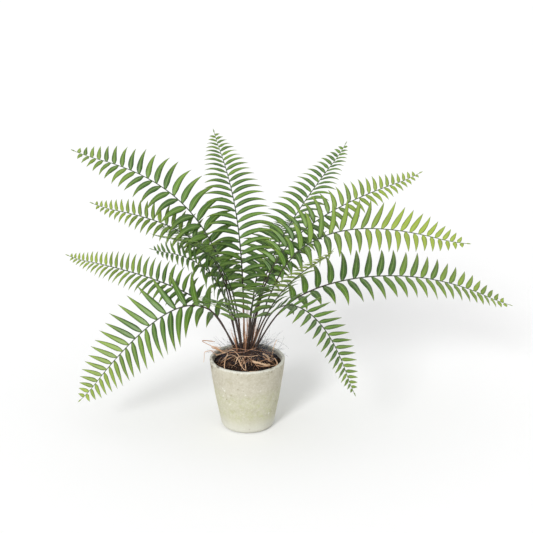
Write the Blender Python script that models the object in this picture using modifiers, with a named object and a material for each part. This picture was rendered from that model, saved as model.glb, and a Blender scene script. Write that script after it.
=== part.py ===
# A potted fern: a tapering clay pot, a mound of soil, a crown, and arching fronds that each grew as
# one piece. Metres, +Z up, origin at the centre of the pot's underside.
import math
from collections import namedtuple

import bmesh
import bpy
from mathutils import Vector
from mathutils.bvhtree import BVHTree

COLLECTION_NAME = "potted_fern"
TOUCH_GAP = 0.0003          # left between pieces that rest on each other

# Pot
POT_HEIGHT = 0.125
RIM_RADIUS = 0.065          # outside, at the widest point of the rim
FOOT_RADIUS = 0.0465        # outside, just above the foot's rounding
FOOT_ROUND = 0.009          # radius of the rounding round the foot
WALL_BELLY = 0.0016         # how far the side swells beyond a straight taper
POT_WALL = 0.0058
POT_FLOOR = 0.010
POT_STEPS = 48
POT_BANDS = 6               # sections up the side
ROUND_STEPS = 3             # sections round each rounded edge
WELD = 0.0001               # points of a turned shape closer than this become one

# Soil
SOIL_DROP = 0.0095          # from the rim's top down to the soil at the wall
MOUND_RISE = 0.016          # from the soil at the wall up to the crown's seat
MOUND_FALL = 1.6            # above 1, the mound's slope eases off towards the wall
SOIL_STEPS = 5              # sections down the mound, and again down the soil's side

# Crown
CROWN_RADIUS = 0.024
CROWN_HEIGHT = 0.011
CROWN_X = -0.003
CROWN_Y = 0.004
CROWN_STEPS = 24
DOME_STEPS = 6              # sections from the dome's top to its edge
SEAT_MARGIN = 0.006         # room round the crown on the level patch that it sits on
SEAT_RADIUS = CROWN_RADIUS + SEAT_MARGIN

# Stipes, which become the rachis where the leaflets start
STIPE_WIDTH = 0.0032
STIPE_HEIGHT = 0.0030
RACHIS_END = 0.28           # thickness at the tip, as a share of the stipe's
BARE_SEGMENTS = 7           # stretches of the stipe below the first leaflet
TIP_CROWDING = 0.35         # how much closer together the leaflets stand at the tip
FACE_REACHED = 0.4          # share of the length by which a blade has turned to the front
TIP_FLICK = 14              # degrees by which every frond turns up again at its end
FLICK_FROM = 0.9            # share of the length where that starts
TURN_POWER = 4              # a higher power makes a frond turn more suddenly
SIDEWAYS = 0.8              # a side face's normal leans at least this much along the side

# Leaflets
BLADE_THICKNESS = 0.0010
LEAFLET_GAP = 0.0008        # least room kept between leaflets, and from them to stipes
LEAFLET_MAX_WIDTH = 0.0125
LEAFLET_FILL = 1.2          # width as a share of the spacing, up to that limit
LEAFLET_LEAST = 0.004       # length of the last ones
LEAFLET_BASE = 0.62         # length of the first ones, as a share of the longest
LEAFLET_SWELL = 1.6         # how fast they reach full length
TAPER_FROM = 2.3            # a higher power keeps them long for more of the blade
TAPER_END = 0.8             # a lower power ends the blade more bluntly
LEAFLET_SWING = 74          # degrees from the rachis at the blade's base
SWING_LOSS = 8              # less at its tip
LEAFLET_LIFT = 12           # degrees above the blade's plane, which makes it a shallow V
LEAFLET_BACKTURN = 0.22     # radians by which the outer half turns away from the frond's tip
LEAFLET_DROOP = 0.28        # how much the outer half hangs
KINK_LENGTH = 0.020         # leaflets longer than this bend half way along

FROND_SIZES = "name azimuth sweep seat rise turn bend droop face length bare leaflet pairs"
Frond = namedtuple("Frond", FROND_SIZES)
FRONDS = (
    # The stipe leaves the crown at the rise angle, turns by the turn angle round the share of its
    # length given as bend, and droops steadily on top of that. Face turns the blade to the front.
    # Seat is how far out on the crown it stands, as a share of the crown's radius.
    # name             azim swp  seat   rise turn bend  droop face length bare leaflet pairs
    Frond("left_high", 166, 0, 0.29, 80, 52, 0.60, 22, 38, 0.48, 0.30, 0.064, 20),
    Frond("left_upper", 178, 0, 0.60, 82, 70, 0.50, 3, 36, 0.39, 0.27, 0.048, 24),
    Frond("left_front", 205, 0, 0.54, 78, 58, 0.70, 10, 30, 0.27, 0.28, 0.050, 17),
    Frond("left_edge", 218, 0, 0.33, 84, 48, 0.60, 22, -10, 0.32, 0.28, 0.048, 18),
    Frond("left_middle", 165, 0, 0.75, 60, 36, 0.25, 20, 34, 0.35, 0.26, 0.044, 25),
    Frond("left_low", 186, 20, 0.79, 68, 108, 0.28, 10, 42, 0.37, 0.17, 0.076, 20),
    Frond("top", 112, 0, 0.21, 88, 46, 0.72, 10, 0, 0.39, 0.25, 0.066, 25),
    Frond("right_high", 47, 0, 0.33, 72, 31, 0.40, 8, 0, 0.41, 0.27, 0.064, 24),
    Frond("right_upper", 14, 0, 0.37, 80, 46, 0.42, 22, 38, 0.45, 0.28, 0.046, 25),
    Frond("right_middle", -16, 0, 0.46, 74, 70, 0.50, 18, 34, 0.49, 0.30, 0.066, 21),
    Frond("right_long", 4, 0, 0.75, 64, 27, 0.20, 70, 26, 0.50, 0.18, 0.066, 23),
    Frond("right_low", -34, -8, 0.79, 72, 110, 0.42, 32, 6, 0.32, 0.24, 0.050, 20),
    Frond("right_short", -50, 0, 0.54, 63, 14, 0.50, 16, 0, 0.31, 0.28, 0.040, 17),
    Frond("inner_right", 24, 0, 0.17, 80, 45, 0.50, 14, 0, 0.25, 0.32, 0.048, 13),
    Frond("front_right", -74, 0, 0.50, 78, 44, 0.55, 16, 0, 0.22, 0.30, 0.046, 12),
    Frond("front_left", 242, 0, 0.62, 76, 50, 0.50, 20, 0, 0.21, 0.30, 0.046, 12),
    Frond("back_right", 70, 0, 0.58, 76, 60, 0.50, 26, 0, 0.32, 0.28, 0.050, 17),
    Frond("back_left", 128, 0, 0.58, 74, 60, 0.50, 26, 0, 0.33, 0.28, 0.050, 17),
)

# Dry stubs of old stipes: name, azimuth, seat (as above), rise, length
DRY_STIPES = (
    ("dry_stipe_middle", 300, 0.04, 87, 0.085),
    ("dry_stipe_right", 28, 0.62, 66, 0.055),
    ("dry_stipe_left", 222, 0.79, 80, 0.034),
    ("dry_stipe_back", 98, 0.67, 78, 0.046),
)
DRY_WIDTH = 0.0024
DRY_LEAN = 0.02             # how far each bows aside half way up, as a share of its length
DRY_LEAN_TURN = 70          # degrees between the way it leans out and the way it bows
DRY_END = 0.7               # thickness at the end, as a share of the start's

# Straw and chips on the soil: thickness, then a route of (x, y, height above what lies below) in
# millimetres, chosen by hand so that each piece clears its neighbours. They are for the three
# sizes here, and spread or rise with the real ones.
LITTER_SEAT = 30            # radius of the level patch, in millimetres
LITTER_RIM = 65             # radius of the rim, in millimetres
LITTER_MOUND = 16           # rise of the mound, in millimetres
LITTER_ON_RIM = 0.86        # beyond this share of the way out to the rim, litter lies over it
STRAW_END = 0.7             # thickness at the end, as a share of the start's
BARK_END = 0.75
ROUTE_STEPS = 3             # sections between two of a route's points
STRAWS = (
    ("straw_bundle", 3.4, ((-27, 13, 1.5), (-40, 20, 2.2), (-52, 26, 2.5), (-62, 30, 4))),
    ("straw_hook", 1.6, ((-46, 33, 3), (-62, 34, 5), (-79, 35, 14), (-70, 39, 13), (-58, 42, 10))),
    ("straw_hanging", 1.4, ((-55, 18, 2.5), (-65, 16, 4), (-74, 14, 2), (-75, 14, -8), (-76, 13, -16))),
    ("straw_front", 2.2, ((-33, 4, 1), (-37, -12, 1), (-38, -28, 1), (-36, -42, 1.5))),
    ("straw_cross", 1.4, ((-20, -13, 2), (-30, -20, 4), (-44, -22, 5))),
    ("straw_loop", 1.2, ((-14, -26, 1.5), (-8, -41, 1.5), (-2, -47, 2), (-3, -38, 3.5), (-8, -25, 3))),
    ("straw_long", 1.4, ((-20, -33, 1), (-14, -24, 4), (2, -21, 3), (18, -19, 4))),
    ("straw_rim", 2.0, ((4, -50, 1), (24, -46, 1), (42, -34, 1), (51, -16, 1), (46, -6, 4))),
    ("straw_stalk", 1.5, ((42, 4, 1), (44, 8, 12), (47, 14, 24), (51, 20, 32))),
    ("straw_right", 1.8, ((21, 13, 1), (30, 14, 3), (42, 12, 4))),
)
BARKS = (
    ("bark_long", 5.2, ((9, -33, 1.5), (20, -34, 2.5), (32, -33, 2.5), (38, -28, 2))),
    ("bark_bent", 4.4, ((27, -8, 1.5), (35, -12, 2.5), (38, -20, 2))),
)

# Ways that a leaflet may give way to its neighbours: swing and lift in degrees, share of length
LEAFLET_WAYS = (
    (0, 0, 1.0), (0, 10, 1.0), (0, -10, 1.0), (-10, 0, 1.0), (10, 0, 1.0), (0, 20, 0.95),
    (0, -20, 0.95), (-18, 10, 0.9), (10, -20, 0.85), (0, 32, 0.8), (0, 0, 0.75), (0, -32, 0.75),
    (-22, 22, 0.6), (0, 12, 0.55), (0, -12, 0.55), (0, 0, 0.4),
)


def clear_scene():
    for obj in list(bpy.data.objects):
        bpy.data.objects.remove(obj)


def make_material(name, color, roughness):
    material = bpy.data.materials.new(name)
    material.use_nodes = True
    shader = material.node_tree.nodes["Principled BSDF"]
    shader.inputs["Base Color"].default_value = (*color, 1)
    shader.inputs["Roughness"].default_value = roughness
    shader.inputs["Metallic"].default_value = 0
    return material


def add_object(name, mesh, material, collection):
    obj = bpy.data.objects.new(name, mesh)
    mesh.materials.append(material)
    collection.objects.link(obj)
    return obj


def heading(degrees):
    angle = math.radians(degrees)
    return Vector((math.cos(angle), math.sin(angle), 0))


def arc(center_r, center_z, radius, start, end, count):
    """Points (r, z) along an arc, angles in degrees."""
    angles = [math.radians(start + (end - start) * i / count) for i in range(count + 1)]
    return [(center_r + radius * math.cos(a), center_z + radius * math.sin(a)) for a in angles]


def turned_object(name, profile, steps, material, collection):
    """Screw a profile of (r, z) points, which runs down its outer side, round the Z axis."""
    mesh = bpy.data.meshes.new(name)
    edges = [(i, i + 1) for i in range(len(profile) - 1)]
    mesh.from_pydata([(r, 0, z) for r, z in profile], edges, [])
    obj = add_object(name, mesh, material, collection)
    screw = obj.modifiers.new("turn", "SCREW")
    screw.steps = steps
    screw.render_steps = steps
    screw.use_merge_vertices = True
    screw.merge_threshold = WELD
    screw.use_smooth_shade = True
    return obj


def outer_radius(z):
    """The pot's outside at a height: a straight taper with a slight belly."""
    share = (z - FOOT_ROUND) / (POT_HEIGHT - FOOT_ROUND)
    taper = FOOT_RADIUS + (RIM_RADIUS - FOOT_RADIUS) * share
    return taper + WALL_BELLY * 4 * share * (1 - share)


def inner_radius(z):
    return outer_radius(z) - POT_WALL


def make_pot(collection):
    rim = POT_WALL / 2
    top = POT_HEIGHT - rim
    heights = [FOOT_ROUND + (top - FOOT_ROUND) * i / POT_BANDS for i in range(POT_BANDS + 1)]
    profile = arc(outer_radius(top) - rim, top, rim, 90, 0, ROUND_STEPS)
    profile += [(outer_radius(z), z) for z in reversed(heights[:-1])]
    profile += arc(FOOT_RADIUS - FOOT_ROUND, FOOT_ROUND, FOOT_ROUND, 0, -90, ROUND_STEPS)[1:]
    profile += [(0, 0), (0, POT_FLOOR)]
    profile += [(inner_radius(POT_FLOOR), POT_FLOOR)]
    profile += [(inner_radius(z), z) for z in heights[1:-1]]
    profile += arc(outer_radius(top) - rim, top, rim, 180, 90, ROUND_STEPS)
    clay = make_material("weathered_clay", (0.62, 0.60, 0.52), 0.85)
    turned_object("pot", profile, POT_STEPS, clay, collection)


def soil_reach():
    """The soil's height at the wall, and its radius there."""
    edge = POT_HEIGHT - SOIL_DROP
    return edge, inner_radius(edge) - TOUCH_GAP


def soil_height(r):
    """The soil's top: level under the crown, then falling to the wall in a soft slope."""
    edge, reach = soil_reach()
    share = min(1, max(0, (r - SEAT_RADIUS) / (reach - SEAT_RADIUS)))
    return edge + MOUND_RISE * (1 - share) ** MOUND_FALL


def make_soil(collection):
    edge, reach = soil_reach()
    base = POT_FLOOR + TOUCH_GAP
    profile = [(0, soil_height(0))]
    for i in range(SOIL_STEPS + 1):
        r = SEAT_RADIUS + (reach - SEAT_RADIUS) * i / SOIL_STEPS
        profile.append((r, soil_height(r)))
    for i in range(1, SOIL_STEPS + 1):
        z = edge + (base - edge) * i / SOIL_STEPS
        profile.append((inner_radius(z) - 2 * TOUCH_GAP, z))
    profile.append((0, base))
    soil = make_material("potting_soil", (0.045, 0.030, 0.022), 0.95)
    turned_object("soil", profile, POT_STEPS, soil, collection)


def crown_height(r):
    """Height of the crown's dome above the pot's underside."""
    dome = CROWN_HEIGHT * math.sqrt(max(0, 1 - (r / CROWN_RADIUS) ** 2))
    return soil_height(0) + TOUCH_GAP + dome


def make_crown(collection):
    base = soil_height(0) + TOUCH_GAP
    profile = [(0, base + CROWN_HEIGHT)]
    for i in range(1, DOME_STEPS + 1):
        angle = math.pi / 2 * (1 - i / DOME_STEPS)
        profile.append((CROWN_RADIUS * math.cos(angle), base + CROWN_HEIGHT * math.sin(angle)))
    profile.append((0, base))
    bark = make_material("crown_bark", (0.12, 0.07, 0.04), 0.9)
    crown = turned_object("crown", profile, CROWN_STEPS, bark, collection)
    crown.location = (CROWN_X, CROWN_Y, 0)


Station = namedtuple("Station", "point along side up share")


def frond_shares(frond):
    """Shares of the length where the frond's sections lie, closer together towards the tip."""
    stipe = [frond.bare * i / BARE_SEGMENTS for i in range(BARE_SEGMENTS)]
    count = 2 * frond.pairs
    blade = []
    for i in range(count + 1):
        u = i / count
        crowded = u + TIP_CROWDING * u * (1 - u)
        blade.append(frond.bare + (1 - frond.bare) * crowded)
    return stipe + blade


def crown_seat(azimuth, seat_share, direction, width):
    """Where a stipe's lowest section lies, so that its foot just clears the crown's dome."""
    out = heading(azimuth)
    seat = out * (seat_share * CROWN_RADIUS)
    side = Vector((-out.y, out.x, 0)) * (width / 2)
    up = direction.cross(side)
    corners = [seat + side + up, seat + side - up, seat - side + up, seat - side - up]
    seat.z = TOUCH_GAP + max(crown_height(corner.xy.length) - corner.z for corner in corners)
    return Vector((CROWN_X, CROWN_Y, 0)) + seat


def slope(frond, share):
    """The frond's angle above the level, in radians, a share of the way along it."""
    power = TURN_POWER
    knee = share ** power * (1 + frond.bend ** power) / (share ** power + frond.bend ** power)
    flick = TIP_FLICK * max(0, share - FLICK_FROM) / (1 - FLICK_FROM)
    return math.radians(frond.rise - frond.turn * knee - frond.droop * share + flick)


def grow_rachis(frond):
    """Follow the frond's mid line from the crown to its tip and return its stations."""
    shares = frond_shares(frond)
    rise = math.radians(frond.rise)
    first = heading(frond.azimuth) * math.cos(rise) + Vector((0, 0, math.sin(rise)))
    point = crown_seat(frond.azimuth, frond.seat, first, STIPE_WIDTH)
    stations = []
    for i, share in enumerate(shares):
        angle = slope(frond, share)
        out = heading(frond.azimuth + frond.sweep * share ** 2)
        along = out * math.cos(angle) + Vector((0, 0, math.sin(angle)))
        side = Vector((-out.y, out.x, 0))
        up = along.cross(side)
        roll = math.radians(frond.face) * min(1, share / FACE_REACHED)
        if side.y < 0:
            roll = -roll
        rolled = side * math.cos(roll) + up * math.sin(roll)
        stations.append(Station(point.copy(), along, rolled, along.cross(rolled), share))
        if i + 1 < len(shares):
            point += along * frond.length * (shares[i + 1] - share)
    return stations


def place_ring(verts, old_center, old_x, old_y, center, x_axis, y_axis, width, height):
    """Move four corners, told apart by where they lay in the old frame, to a new section."""
    for vert in verts:
        offset = vert.co - old_center
        x_sign = 1 if offset.dot(old_x) > 0 else -1
        y_sign = 1 if offset.dot(old_y) > 0 else -1
        vert.co = center + x_axis * (x_sign * width / 2) + y_axis * (y_sign * height / 2)


def rachis_size(share):
    shrink = 1 - (1 - RACHIS_END) * share
    return STIPE_WIDTH * shrink, STIPE_HEIGHT * shrink


def build_rachis(stations):
    """Extrude a box from section to section along the frond."""
    bm = bmesh.new()
    cube = bmesh.ops.create_cube(bm, size=1)["verts"]
    origin = Vector()
    x_axis = Vector((1, 0, 0))
    y_axis = Vector((0, 1, 0))
    for level, z_sign in ((0, -1), (1, 1)):
        ring = [v for v in cube if v.co.z * z_sign > 0]
        station = stations[level]
        place_ring(ring, origin, x_axis, y_axis, station.point, station.side, station.up,
                   *rachis_size(station.share))
        if level == 0:
            cube = [v for v in cube if v not in ring]
    cap = next(f for f in bm.faces if set(f.verts) == set(ring))
    for last, station in zip(stations[1:], stations[2:]):
        cap = bmesh.ops.extrude_discrete_faces(bm, faces=[cap])["faces"][0]
        place_ring(cap.verts, last.point, last.side, last.up, station.point, station.side,
                   station.up, *rachis_size(station.share))
    bm.normal_update()
    return bm


def side_faces(bm, stations):
    """The rachis's side faces by segment: a list of (left, right) pairs."""
    bm.faces.ensure_lookup_table()
    pairs = [[None, None] for _ in stations[1:]]
    centers = [(a.point + b.point) / 2 for a, b in zip(stations, stations[1:])]
    for face in bm.faces:
        middle = face.calc_center_median()
        i = min(range(len(centers)), key=lambda k: (centers[k] - middle).length_squared)
        lean = face.normal.dot(stations[i].side)
        if abs(lean) > SIDEWAYS:
            pairs[i][0 if lean > 0 else 1] = face
    return pairs


def leaflet_length(frond, u):
    """Leaflet length a share u of the way up the blade."""
    swell = min(1, LEAFLET_BASE + LEAFLET_SWELL * u)
    return LEAFLET_LEAST + frond.leaflet * swell * (1 - u ** TAPER_FROM) ** TAPER_END


Leaflet = namedtuple("Leaflet", "middle tip along up width")


def shape_leaflet(frond, near, far, side_sign, way):
    """Where a leaflet's middle section and tip lie, for one way of giving room."""
    swing_more, lift_more, shorten = way
    share = (near.share + far.share) / 2
    u = (share - frond.bare) / (1 - frond.bare)
    length = leaflet_length(frond, u) * shorten
    swing = math.radians(LEAFLET_SWING - SWING_LOSS * u + swing_more)
    lift = math.radians(LEAFLET_LIFT + lift_more)
    root = (near.point + far.point) / 2
    out = near.side * side_sign
    flat = near.along * math.cos(swing) + out * math.sin(swing)
    first = flat * math.cos(lift) + near.up * math.sin(lift)
    turned = swing + LEAFLET_BACKTURN
    bend = near.along * math.cos(turned) + out * math.sin(turned)
    second = bend * math.cos(lift) + near.up * math.sin(lift) - Vector((0, 0, LEAFLET_DROOP))
    middle = root + first * (length * 0.5)
    tip = middle + second.normalized() * (length * 0.5)
    along = (near.along - first * near.along.dot(first)).normalized()
    up = first.cross(along) * -side_sign
    spacing = (far.point - near.point).length
    return Leaflet(middle, tip, along, up, min(LEAFLET_FILL * spacing, LEAFLET_MAX_WIDTH))


def leaflet_tree(near, far, side_sign, leaflet):
    """The leaflet's surface with room round it, to test against its neighbours."""
    out = near.side * side_sign
    corners = []
    for station in (near, far):
        width, height = rachis_size(station.share)
        foot = station.point + out * (width / 2 + LEAFLET_GAP)
        corners += [foot + station.up * (height / 2), foot - station.up * (height / 2)]
    wide = leaflet.along * (leaflet.width / 2 + LEAFLET_GAP)
    thick = leaflet.up * (BLADE_THICKNESS / 2 + LEAFLET_GAP)
    for sign in (-1, 1):
        corners += [leaflet.middle + wide * sign + thick, leaflet.middle + wide * sign - thick]
    reach = (leaflet.tip - leaflet.middle).normalized() * (2 * LEAFLET_GAP)
    corners.append(leaflet.tip + reach)
    faces = [(0, 2, 6, 4), (1, 5, 7, 3), (0, 4, 5, 1), (2, 3, 7, 6)]
    faces += [(4, 6, 8), (5, 8, 7), (4, 8, 5), (6, 7, 8)]
    return BVHTree.FromPolygons(corners, faces)


def grow_leaflet(bm, face, near, far, leaflet):
    """Extrude a side face of the rachis into a leaflet."""
    root = (near.point + far.point) / 2
    if (leaflet.tip - root).length > KINK_LENGTH:
        center = face.calc_center_median()
        face = bmesh.ops.extrude_discrete_faces(bm, faces=[face])["faces"][0]
        place_ring(face.verts, center, near.along, near.up, leaflet.middle, leaflet.along,
                   leaflet.up, leaflet.width, BLADE_THICKNESS)
    tip = bmesh.ops.extrude_discrete_faces(bm, faces=[face])["faces"][0]
    bmesh.ops.pointmerge(bm, verts=list(tip.verts), merge_co=leaflet.tip)


def finish_mesh(name, bm):
    bmesh.ops.triangulate(bm, faces=bm.faces)
    bmesh.ops.recalc_face_normals(bm, faces=bm.faces)
    mesh = bpy.data.meshes.new(name)
    bm.to_mesh(mesh)
    bm.free()
    return mesh


def make_fronds(collection):
    leaf = make_material("fern_leaf", (0.13, 0.26, 0.06), 0.5)
    lines = {frond.name: grow_rachis(frond) for frond in FRONDS}
    meshes = {name: build_rachis(stations) for name, stations in lines.items()}
    trees = {name: BVHTree.FromBMesh(bm) for name, bm in meshes.items()}
    for frond in FRONDS:
        stations = lines[frond.name]
        bm = meshes[frond.name]
        faces = side_faces(bm, stations)
        others = [tree for name, tree in trees.items() if name != frond.name]
        grown = []
        for i in range(BARE_SEGMENTS, len(stations) - 2):
            near, far = stations[i], stations[i + 1]
            side = i % 2
            side_sign = 1 - 2 * side
            for way in LEAFLET_WAYS:
                leaflet = shape_leaflet(frond, near, far, side_sign, way)
                tree = leaflet_tree(near, far, side_sign, leaflet)
                if not any(tree.overlap(other) for other in others + grown):
                    grow_leaflet(bm, faces[i][side], near, far, leaflet)
                    grown.append(tree)
                    break
        trees[frond.name] = BVHTree.FromBMesh(bm)
        add_object("frond_" + frond.name, finish_mesh(frond.name, bm), leaf, collection)


def smooth_route(points):
    """A smooth curve through hand-placed points."""
    route = []
    last = len(points) - 1
    for i in range(last):
        before = points[max(0, i - 1)]
        a, b = points[i], points[i + 1]
        after = points[min(last, i + 2)]
        for k in range(ROUTE_STEPS):
            t = k / ROUTE_STEPS
            square = (2 * before - 5 * a + 4 * b - after) * t ** 2
            cube = (3 * a - 3 * b + after - before) * t ** 3
            route.append(a + ((b - before) * t + square + cube) / 2)
    return route + [points[-1]]


def tube_object(name, route, width, end_share, material, collection):
    """A solid round stick along a route, thinner towards its end."""
    curve = bpy.data.curves.new(name, "CURVE")
    curve.dimensions = "3D"
    curve.bevel_depth = width / 2
    curve.bevel_resolution = 1
    curve.use_fill_caps = True
    spline = curve.splines.new("POLY")
    spline.points.add(len(route) - 1)
    for i, (point, place) in enumerate(zip(spline.points, route)):
        point.co = (*place, 1)
        point.radius = 1 - (1 - end_share) * i / (len(route) - 1)
    return add_object(name, curve, material, collection)


def make_dry_stipes(collection):
    straw = make_material("dry_stipe", (0.45, 0.25, 0.12), 0.8)
    for name, azimuth, seat, rise, length in DRY_STIPES:
        angle = math.radians(rise)
        along = heading(azimuth) * math.cos(angle) + Vector((0, 0, math.sin(angle)))
        foot = crown_seat(azimuth, seat, along, DRY_WIDTH)
        lean = heading(azimuth + DRY_LEAN_TURN) * DRY_LEAN * length
        points = [foot, foot + along * length / 2 + lean, foot + along * length]
        tube_object(name, smooth_route(points), DRY_WIDTH, DRY_END, straw, collection)


def spread(plan_x, plan_y):
    """A hand-placed plan position in metres, and the height of what lies below it. Litter on the
    level patch keeps to the patch, and the rest reaches out with the rim."""
    r = math.hypot(plan_x, plan_y)
    if r > LITTER_SEAT:
        out = (r - LITTER_SEAT) / (LITTER_RIM - LITTER_SEAT)
        scale = (SEAT_RADIUS + (RIM_RADIUS - SEAT_RADIUS) * out) / r
    else:
        scale = SEAT_RADIUS / LITTER_SEAT
    ground = POT_HEIGHT if r > LITTER_ON_RIM * LITTER_RIM else soil_height(r * scale)
    return plan_x * scale, plan_y * scale, ground


def make_litter(collection):
    straw = make_material("straw", (0.62, 0.42, 0.25), 0.7)
    bark = make_material("bark_chip", (0.50, 0.32, 0.20), 0.85)
    for pieces, material, end_share in ((STRAWS, straw, STRAW_END), (BARKS, bark, BARK_END)):
        for name, thickness, points in pieces:
            width = thickness / 1000
            route = []
            for plan_x, plan_y, plan_lift in points:
                x, y, ground = spread(plan_x, plan_y)
                lift = plan_lift * MOUND_RISE / LITTER_MOUND
                route.append(Vector((x, y, ground + TOUCH_GAP + width / 2 + lift)))
            tube_object(name, smooth_route(route), width, end_share, material, collection)


def main():
    clear_scene()
    collection = bpy.data.collections.new(COLLECTION_NAME)
    bpy.context.scene.collection.children.link(collection)
    make_pot(collection)
    make_soil(collection)
    make_crown(collection)
    make_fronds(collection)
    make_dry_stipes(collection)
    make_litter(collection)


main()
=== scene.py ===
import math
import random
from collections import namedtuple

import bpy
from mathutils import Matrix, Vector, noise
from mathutils.kdtree import KDTree


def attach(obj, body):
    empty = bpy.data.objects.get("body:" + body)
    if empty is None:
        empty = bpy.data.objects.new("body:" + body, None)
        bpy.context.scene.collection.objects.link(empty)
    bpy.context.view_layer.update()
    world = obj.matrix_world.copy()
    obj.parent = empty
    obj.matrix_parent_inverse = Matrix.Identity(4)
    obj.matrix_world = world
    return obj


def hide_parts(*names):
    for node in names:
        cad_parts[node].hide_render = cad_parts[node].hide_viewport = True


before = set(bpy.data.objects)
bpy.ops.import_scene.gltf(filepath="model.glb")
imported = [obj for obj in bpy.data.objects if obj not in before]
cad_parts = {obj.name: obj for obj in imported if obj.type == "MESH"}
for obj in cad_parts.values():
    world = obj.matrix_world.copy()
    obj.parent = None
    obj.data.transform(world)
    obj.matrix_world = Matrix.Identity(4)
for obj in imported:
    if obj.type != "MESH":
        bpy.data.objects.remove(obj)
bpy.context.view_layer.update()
print("frame loaded:", len(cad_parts), "nodes")


# a wrapped socket, so that shader maths reads as plain expressions
class Sock:
    def __init__(self, paint, socket):
        self.paint = paint
        self.socket = socket

    def joined(self, operation, a, b):
        return self.paint.add("ShaderNodeMath", {"operation": operation}, {0: a, 1: b})

    def __add__(self, other):
        return self.joined("ADD", self, other)

    def __radd__(self, other):
        return self.joined("ADD", other, self)

    def __sub__(self, other):
        return self.joined("SUBTRACT", self, other)

    def __rsub__(self, other):
        return self.joined("SUBTRACT", other, self)

    def __mul__(self, other):
        return self.joined("MULTIPLY", self, other)

    def __rmul__(self, other):
        return self.joined("MULTIPLY", other, self)

    def __abs__(self):
        return self.joined("ABSOLUTE", self, 0.0)


# a material whose nodes all come from add()
class Paint:
    def __init__(self, name, **constants):
        self.material = bpy.data.materials.new(name)
        self.material.use_nodes = True
        self.nodes = self.material.node_tree.nodes
        self.links = self.material.node_tree.links
        self.shader = self.nodes["Principled BSDF"]
        for key, value in constants.items():
            self.shader.inputs[key].default_value = value

    def add(self, kind, settings=None, sockets=None, out=0):
        node = self.nodes.new(kind)
        for key, value in (settings or {}).items():
            if key == "stops":
                self.setStops(node.color_ramp, value)
            else:
                setattr(node, key, value)
        for key, value in (sockets or {}).items():
            self.feed(node.inputs[key], value)
        return Sock(self, node.outputs[out])

    def setStops(self, ramp, stops):
        while len(ramp.elements) < len(stops):
            ramp.elements.new(0.5)
        for element, (place, color) in zip(ramp.elements, stops):
            element.position = place
            element.color = (*color, 1)

    def feed(self, socket, value):
        if isinstance(value, Sock):
            self.links.new(value.socket, socket)
        elif isinstance(value, tuple) and socket.type == "RGBA":
            socket.default_value = (*value, 1)
        else:
            socket.default_value = value

    def place(self):
        return self.add("ShaderNodeTexCoord", out=3)

    def scaled(self, vector, by):
        return self.add("ShaderNodeVectorMath", {"operation": "MULTIPLY"}, {0: vector, 1: by})

    def height(self, vector):
        return self.add("ShaderNodeSeparateXYZ", None, {0: vector}, 2)

    def noise(self, vector, scale, detail=3.0, rough=0.55):
        sockets = {"Vector": vector, "Scale": scale, "Detail": detail, "Roughness": rough}
        return self.add("ShaderNodeTexNoise", None, sockets)

    def value(self, name):
        return self.add("ShaderNodeAttribute", {"attribute_name": name}, None, 2)

    def between(self, value, low, high):
        sockets = {"Value": value, "From Min": low, "From Max": high}
        return self.add("ShaderNodeMapRange", {"interpolation_type": "SMOOTHSTEP"}, sockets)

    def mix(self, factor, a, b):
        return self.add("ShaderNodeMix", {"data_type": "RGBA"}, {0: factor, 6: a, 7: b}, 2)

    def finish(self, color, roughness, height=None, depth=0.0, strength=1.0):
        self.feed(self.shader.inputs["Base Color"], color)
        self.feed(self.shader.inputs["Roughness"], roughness)
        if height is not None:
            sockets = {"Strength": strength, "Distance": depth, "Height": height}
            bump = self.add("ShaderNodeBump", None, sockets)
            self.feed(self.shader.inputs["Normal"], bump)
        return self.material


# vertices, faces and per-vertex values, collected and then made into one object
class Shape:
    def __init__(self):
        self.verts = []
        self.faces = []
        self.slots = []
        self.values = {}

    def add(self, verts, faces, slot=0, **values):
        start = len(self.verts)
        self.verts += verts
        self.faces += [tuple(start + i for i in face) for face in faces]
        self.slots += [slot] * len(faces)
        for name in sorted(set(values) | set(self.values)):
            given = values.get(name, 0.0)
            known = self.values.setdefault(name, [0.0] * start)
            known += given if isinstance(given, list) else [given] * len(verts)

    def addTube(self, tube, tone):
        verts, faces, along, around = tube
        self.add(verts, faces, along=along, around=around, tone=tone)

    def build(self, name, materials, recordSlot, *replaced):
        mesh = bpy.data.meshes.new(name)
        mesh.from_pydata(self.verts, [], self.faces)
        for material in materials:
            mesh.materials.append(material)
        mesh.polygons.foreach_set("material_index", self.slots)
        mesh.polygons.foreach_set("use_smooth", [True] * len(self.faces))
        for key, numbers in self.values.items():
            mesh.attributes.new(key, "FLOAT", "POINT").data.foreach_set("value", numbers)
        mesh.update()
        obj = bpy.data.objects.new(name, mesh)
        bpy.context.scene.collection.objects.link(obj)
        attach(obj, "root")
        if replaced:
            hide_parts(*replaced)


def heading(degrees):
    angle = math.radians(degrees)
    return Vector((math.cos(angle), math.sin(angle), 0))


def smoothRoute(points, steps):
    route = []
    last = len(points) - 1
    for i in range(last):
        before, a = points[max(0, i - 1)], points[i]
        b, after = points[i + 1], points[min(last, i + 2)]
        for k in range(steps):
            t = k / steps
            square = (2 * before - 5 * a + 4 * b - after) * t ** 2
            cube = (3 * a - 3 * b + after - before) * t ** 3
            route.append(a + ((b - before) * t + square + cube) / 2)
    return route + [points[-1]]


def gridFaces(rows, columns):
    # quads between closed rings of columns points
    faces = []
    for i in range(rows - 1):
        for k in range(columns):
            n = (k + 1) % columns
            faces.append((i * columns + k, i * columns + n, (i + 1) * columns + n, (i + 1) * columns + k))
    return faces


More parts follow.
